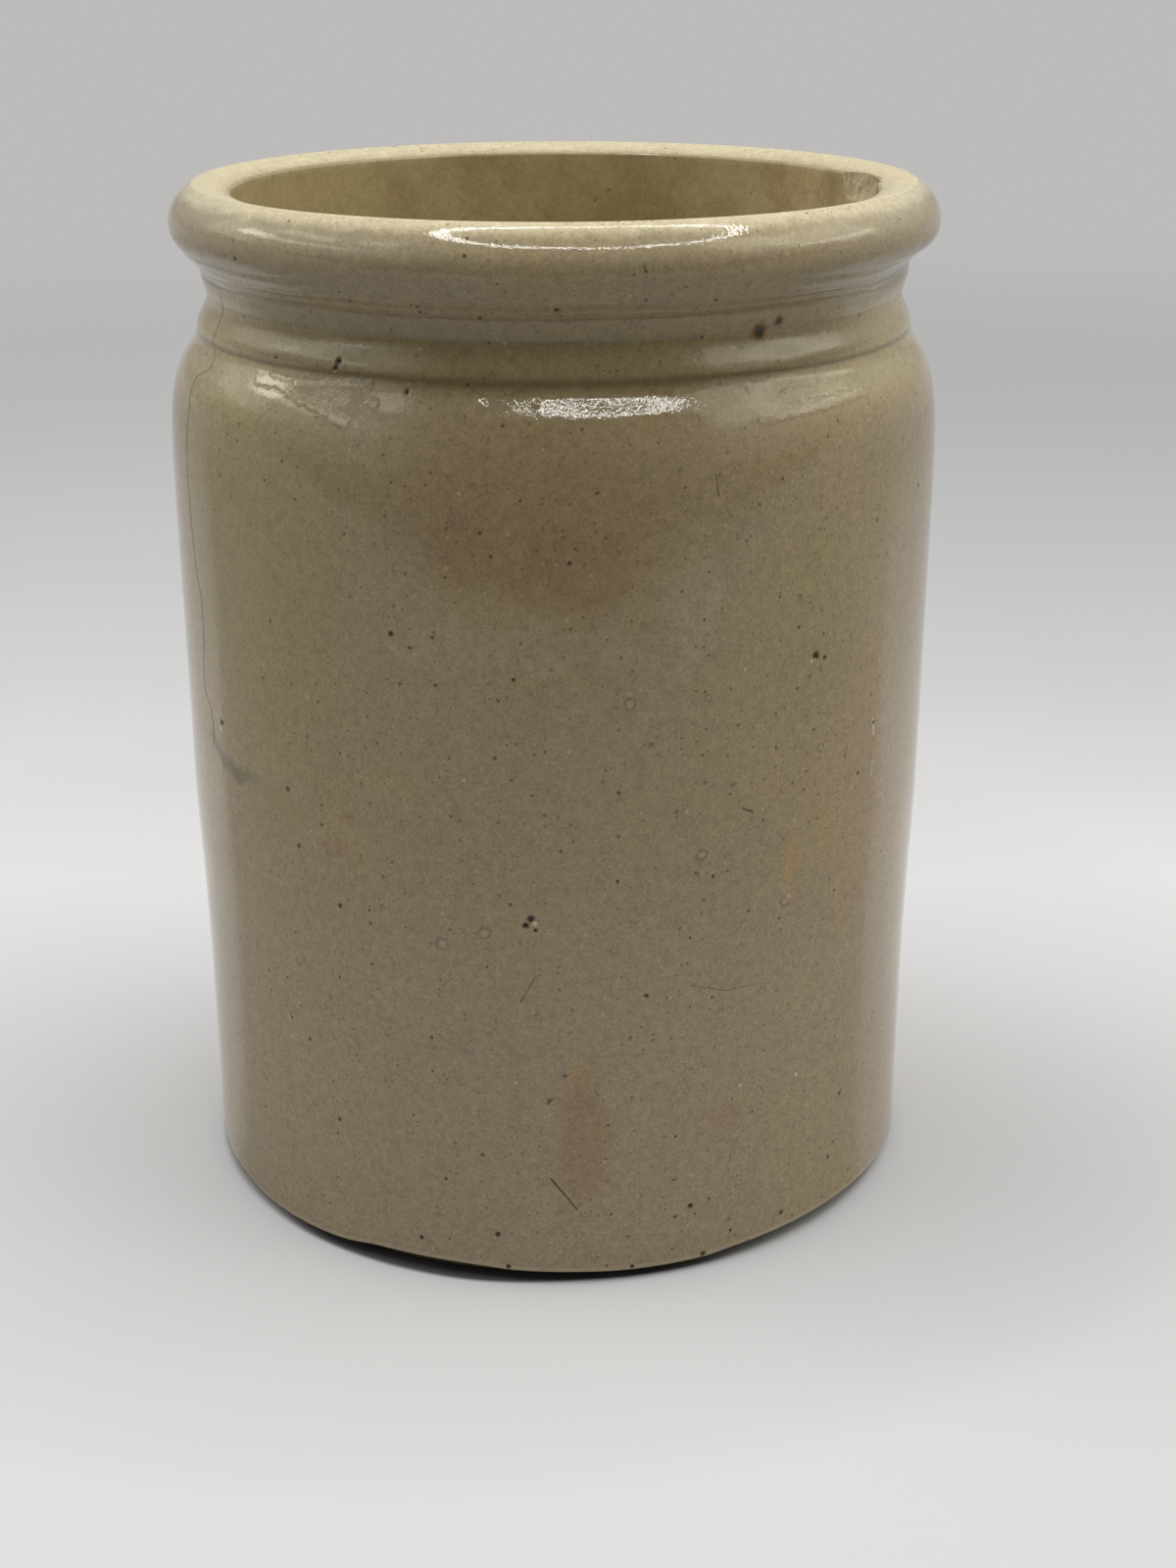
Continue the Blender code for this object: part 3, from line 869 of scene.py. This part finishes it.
def make_bare_clay():
    clay, tree, shader, flat, place = open_material("bare_clay")
    colour = tint(ease(wobble(place, 0.12, 5.0, 0.65), -0.15, 0.15), BARE_CLAY_DARK, BARE_CLAY)
    for *layer, strength, hue in ((0.9, 0.4, 0.22, 0.4, 0.5, IRON), (2.6, 0.4, 0.4, 0.4, 0.8, IRON),
                                  (1.4, 0.4, 0.4, 0.4, 0.5, PALE_GRIT)):
        colour = tint(times(use(specks, "Mask", place, *layer), strength), colour, hue)
    from_wire = measure("DISTANCE", place, WIRE_CENTRE)
    drags = reckon("SINE", add_up(times(from_wire, 4.2), times(wobble(place, 0.1, 3.0), 5.0)))
    grain = wobble(place, 3.0, 4.0, 0.7)
    dress(shader, colour, add_up(0.8, times(grain, 0.3)), add_up(times(drags, 0.03), times(grain, 0.12)))
    return clay


bare_clay = make_bare_clay()

# The finished jar
# The sheet is turned into the jar in one go, with the glaze outside and inside and bare clay on the
# base. Its shape is kept as a plain mesh.
turning = make_turning()
jar = bpy.data.objects.new("jar_turned", make_sheet())
bpy.context.scene.collection.objects.link(jar)


def made_plain(modifier):
    """Keeps what a modifier makes of the jar as its plain mesh, and takes the modifier away."""
    mesh = bpy.data.meshes.new_from_object(jar.evaluated_get(bpy.context.evaluated_depsgraph_get()))
    jar.modifiers.remove(modifier)
    jar.data = mesh
    mesh.name = "jar_turned"


wrapping = jar.modifiers.new("turning", "NODES")
wrapping.node_group = turning
for item in turning.interface.items_tree:
    chosen = {"Outline": outline_object, "Faults": fault_object, "Glaze": glaze, "Bare Clay": bare_clay}
    if item.item_type == "SOCKET" and item.in_out == "INPUT" and item.name in chosen:
        wrapping[item.identifier] = chosen[item.name]
made_plain(wrapping)

# The chip
# An old knock broke a flake out of the mouth's inner edge, at the right. The break is dull, sandy
# clay with the marks of the flake in it.
CHIP_BEARING = math.radians(100)
CHIP_LENGTH = 16.0 * MM
CHIP_BITE = 1.35 * MM
CHIP_DEPTH = 5.0 * MM
CHIP_THICKNESS = 9.0 * MM
CHIP_ROUGHNESS = 0.28 * MM
BROKEN_DARK = (0.44, 0.37, 0.225, 1.0)
BROKEN_PALE = (0.6, 0.51, 0.33, 1.0)


def make_broken_clay():
    clay, tree, shader, flat, place = open_material("broken_clay")
    streaks = measure("MULTIPLY", place, (1.0, 1.0, 0.25))
    colour = tint(ease(wobble(streaks, 1.6, 4.0, 0.6), -0.12, 0.12), BROKEN_DARK, BROKEN_PALE)
    colour = tint(times(use(specks, "Mask", place, 0.9, 0.35, 0.22, 0.4), 0.7), colour, IRON)
    grain = wobble(place, 4.0, 4.0, 0.7)
    dress(shader, colour, add_up(0.75, times(grain, 0.3)), times(grain, 0.12))
    return clay


def make_chip_cutter():
    """The flake that broke away, a flat rough oval."""
    flake = bmesh.new()
    bmesh.ops.create_icosphere(flake, subdivisions=5, radius=1.0)
    size = Vector((CHIP_THICKNESS / 2, CHIP_LENGTH / 2, CHIP_DEPTH))
    for corner in flake.verts:
        at = corner.co * size
        rough = noise.noise(at * 350.0) + 0.5 * noise.noise(at * 1100.0) + 0.2 * noise.noise(at * 2600.0)
        corner.co = at + corner.co * rough * CHIP_ROUGHNESS
    mesh = bpy.data.meshes.new("flake")
    flake.to_mesh(mesh)
    flake.free()
    mesh.materials.append(make_broken_clay())
    cutter = bpy.data.objects.new("flake", mesh)
    centre = lip_radius + CHIP_BITE - CHIP_THICKNESS / 2
    cutter.rotation_euler = (0.0, 0.0, CHIP_BEARING - math.pi / 2)
    cutter.location = (centre * math.sin(CHIP_BEARING), -centre * math.cos(CHIP_BEARING), RIM_TOP[0][1] * MM)
    return cutter


flake = make_chip_cutter()
bpy.context.scene.collection.objects.link(flake)
cut = jar.modifiers.new("chip", "BOOLEAN")
cut.operation = "DIFFERENCE"
cut.solver = "EXACT"
cut.material_mode = "TRANSFER"
cut.object = flake
made_plain(cut)
bpy.data.objects.remove(flake)
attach(jar, "root")
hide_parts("jar")

# The studio
# The jar stands on pale paper that runs on to the horizon. A ring of small lamps hangs over it, soft
# panels stand at both sides, and the room behind the camera is dark.
PAPER_HALF = 8.0
PAPER_FAR = (0.505, 0.499, 0.493)
PAPER_TINT = (0.99, 1.0, 1.05)
# The painted shade on the paper far in front of the jar, seen by all but the camera
SHADED_FRONT_PAPER = (0.03, 0.03, 0.03, 1.0)

# How bright the paper is painted, from in front of the jar to behind it: a painted pool of light, brightest
# just behind the jar and fading away from it
PAPER_SHADES = ((-0.1, 0.72), (-0.05, 0.76), (-0.016, 0.8), (0.03, 0.84), (0.067, 0.87), (0.107, 0.77),
                (0.16, 0.71), (0.23, 0.69), (0.45, 0.7))
SHADES_START = 0.2
# The middle of a painted shadow on the paper at the right front of the jar
SHADOW_SPOT_PLACE = (0.052, -0.02, 0.0)

# The painted shade on the paper under the foot's bevel, by distance from the jar's axis and by bearing
FOOT_SHADE_OUTER = 0.0383
FOOT_SHADE_INNER = 0.0375
FOOT_SHADE_SPAN = (-1.05, -0.6, 0.15, 0.75)

# Painted shade seen only in reflections: the paper in front of and beside the jar is darker where the glaze
# mirrors it
MIRRORED_FROM = (0.66, 0.52)
MIRRORED_SHADE = 0.4

# Lamps: the ring's middle, radius, count, size and power, and each panel's place, width, height, power
RING_PLACE = (0.063, -0.135, 0.5)
RING_RADIUS = 0.228
RING_LAMPS = 28
LAMP_SIZE = (0.048, 0.017)
LAMP_POWER = 0.065
LAMP_COLOUR = (1.0, 0.985, 0.96)
PANELS = ((-0.46, 0.1, 0.335, 0.11, 0.055, 0.055), (-0.46, 0.165, 0.31, 0.23, 0.2, 0.1),
          (-0.46, -0.02, 0.46, 0.22, 0.07, 0.08), (-0.46, -0.03, 0.325, 0.4, 0.043, 0.1),
          (-0.46, -0.26, 0.57, 0.14, 0.09, 0.055), (0.46, -0.02, 0.36, 0.34, 0.24, 0.28),
          (0.46, -0.23, 0.48, 0.26, 0.24, 0.2), (0.46, 0.0, 0.285, 0.3, 0.022, 0.045))
PANEL_COLOUR = (1.0, 0.97, 0.76)
PANEL_TARGET = (0.0, 0.0, 0.08)


def shaded(place, front, to_right):
    """The paper's colour, with its painted light and shade: a painted pool of light from front to back, and
    painted shade at the right, under the foot and in reflections.
    """
    tree = place.id_data
    shade = put(tree, "ShaderNodeValToRGB", {"Fac": add_up(front, SHADES_START)}, "Color")
    ramp = shade.node.color_ramp
    for back, value in PAPER_SHADES:
        ramp.elements.new(back + SHADES_START).color = (*[value * part for part in PAPER_TINT], 1.0)
    ramp.elements.remove(ramp.elements[0])
    ramp.elements.remove(ramp.elements[-1])
    # Painted shade: the paper is darker towards the right, and darker still in a painted shadow at the right
    # front of the jar
    painted_right_shade = put(tree, "ShaderNodeMapRange", {"Value": to_right, "From Min": -0.09, "From Max": 0.09,
                                                 "To Min": 0.99, "To Max": 0.9})
    painted_right_shade = times(painted_right_shade, ease(measure("DISTANCE", place, SHADOW_SPOT_PLACE), 0.06, 0.0, 1.0, 0.88))
    bearing = reckon("ARCTAN2", to_right, times(front, -1.0))
    # Painted contact shadow on the paper under the foot, reaching farthest at the front left
    from_axis = less(measure("LENGTH", place), ease(bearing, 0.1, -0.3, 0.0, 0.0008))
    in_front = band(bearing, *FOOT_SHADE_SPAN)
    painted_foot_shadow = times(ease(from_axis, FOOT_SHADE_OUTER, FOOT_SHADE_INNER),
                       ease(in_front, 0.0, 1.0, 0.3, 0.82))
    # Painted shade for glossy rays only, in front of and beside the jar
    behind = ratio(add_up(front, 0.038), reckon("MAXIMUM", unsigned(to_right), 0.001))
    behind = less(behind, ease(to_right, -0.05, 0.05, *MIRRORED_FROM))
    mirrored = times(put(tree, "ShaderNodeLightPath", out="Is Glossy Ray"), ease(behind, 0.06, -0.06))
    for brightness in (painted_right_shade, less(1.0, painted_foot_shadow), less(1.0, times(mirrored, MIRRORED_SHADE))):
        shade = scaled(shade, brightness)
    return shade


bpy.ops.mesh.primitive_plane_add(size=2 * PAPER_HALF)
paper_sheet = bpy.context.object
paper_sheet.name = "paper_floor"
paper = bpy.data.materials.new("paper")
paper.use_nodes = True
paper_sheet.data.materials.append(paper)
tree = paper.node_tree
paper_shader = tree.nodes["Principled BSDF"]
paper_shader.inputs["Roughness"].default_value = 0.9
paper_shader.inputs["Specular IOR Level"].default_value = 0.1
place = put(tree, "ShaderNodeTexCoord", out="Object")
to_right, front, _ = split(place)
tree.links.new(shaded(place, front, to_right), paper_shader.inputs["Base Color"])
far_paper = put(tree, "ShaderNodeEmission", {"Color": (*PAPER_FAR, 1.0)})
blend = put(tree, "ShaderNodeMixShader", {"Fac": ease(measure("LENGTH", place), 0.25, 0.78),
                                          1: paper_shader.outputs[0], 2: far_paper})
# Painted shade: to all but the camera, the paper far in front of the jar is dark
unseen = less(1.0, put(tree, "ShaderNodeLightPath", out="Is Camera Ray"))
painted_front_shade = put(tree, "ShaderNodeEmission", {"Color": SHADED_FRONT_PAPER})
blend = put(tree, "ShaderNodeMixShader", {"Fac": times(ease(front, -0.21, -0.27), unseen), 1: blend,
                                          2: painted_front_shade})
tree.links.new(blend, tree.nodes["Material Output"].inputs["Surface"])

# The room: pale walls that are brighter high up at the sides, and dark behind the camera
world = bpy.data.worlds.new("studio")
bpy.context.scene.world = world
world.use_nodes = True
tree = world.node_tree
way = split(put(tree, "ShaderNodeTexCoord", out="Generated"))
level_part = reckon("SQRT", add_up(times(way["X"], way["X"]), times(way["Y"], way["Y"])))
to_front = ratio(times(way["Y"], -1.0), reckon("MAXIMUM", level_part, 0.01))
dark_room = times(ease(to_front, 0.45, 0.85), ease(way["Z"], 0.85, 0.6))
high_side = times(ease(unsigned(way["X"]), 0.3, 0.8), ease(way["Z"], 0.05, 0.45))
walls = times(0.4, add_up(1.0, times(way["X"], 0.1)), add_up(1.0, times(high_side, 1.3)))
brightness = put(tree, "ShaderNodeMix", {0: dark_room, 2: walls, 3: 0.04}, data_type="FLOAT")
room = put(tree, "ShaderNodeBackground", {"Color": (1.0, 0.985, 0.955, 1.0), "Strength": brightness})
seen = put(tree, "ShaderNodeBackground", {"Color": (*PAPER_FAR, 1.0), "Strength": 1.0})
by_camera = put(tree, "ShaderNodeLightPath", out="Is Camera Ray")
look = put(tree, "ShaderNodeMixShader", {"Fac": by_camera, 1: room, 2: seen})
tree.links.new(look, tree.nodes["World Output"].inputs["Surface"])


def hang_light(name, place, size, power, colour):
    """An area light of two sizes that shines straight down, unseen by the camera."""
    lamp = bpy.data.lights.new(name, "AREA")
    lamp.shape = "RECTANGLE"
    lamp.size, lamp.size_y = size
    lamp.energy = power
    lamp.color = colour
    light = bpy.data.objects.new(name, lamp)
    light.location = place
    light.visible_camera = False
    bpy.context.scene.collection.objects.link(light)
    return light


for lamp_number in range(RING_LAMPS):
    turned_to = 2 * math.pi * lamp_number / RING_LAMPS
    x = RING_PLACE[0] + RING_RADIUS * math.cos(turned_to)
    y = RING_PLACE[1] + RING_RADIUS * math.sin(turned_to)
    light = hang_light("ring_lamp", (x, y, RING_PLACE[2]), LAMP_SIZE, LAMP_POWER, LAMP_COLOUR)
    light.rotation_euler = (0.0, 0.0, turned_to + math.pi / 2)
for x, y, z, width, height, power in PANELS:
    light = hang_light("side_panel", (x, y, z), (width, height), power, PANEL_COLOUR)
    light.rotation_euler = (Vector(PANEL_TARGET) - Vector((x, y, z))).to_track_quat("-Z", "Y").to_euler()
bpy.context.scene.view_settings.view_transform = "Standard"
